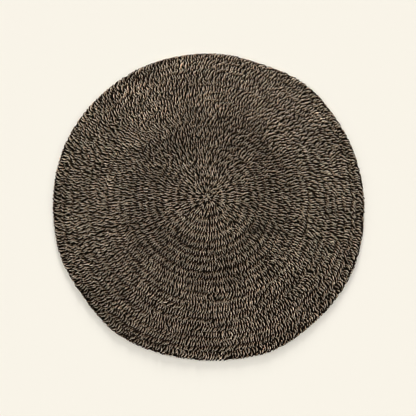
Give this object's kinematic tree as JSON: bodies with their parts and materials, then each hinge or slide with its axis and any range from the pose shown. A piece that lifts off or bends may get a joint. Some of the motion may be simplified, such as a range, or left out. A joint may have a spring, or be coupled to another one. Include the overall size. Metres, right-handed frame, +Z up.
{
  "type": "raffia rug",
  "caption": "Round flat raffia rug, hand worked in closed rounds of upright stitches in a yarn of undyed, browned and black strands.",
  "frame": {"origin": "on the floor, under the middle of the mat's outline", "axes": "+Z up out of the floor; +Y towards the top edge of the picture, the side on which the rounds are narrower; +X to the right"},
  "size_m": [1.5046, 1.4824, 0.014],
  "materials": {
    "raffia": "matte"
  },
  "bodies": {
    "root": {"raffia_rug": "raffia"}
  },
  "joints": []
}
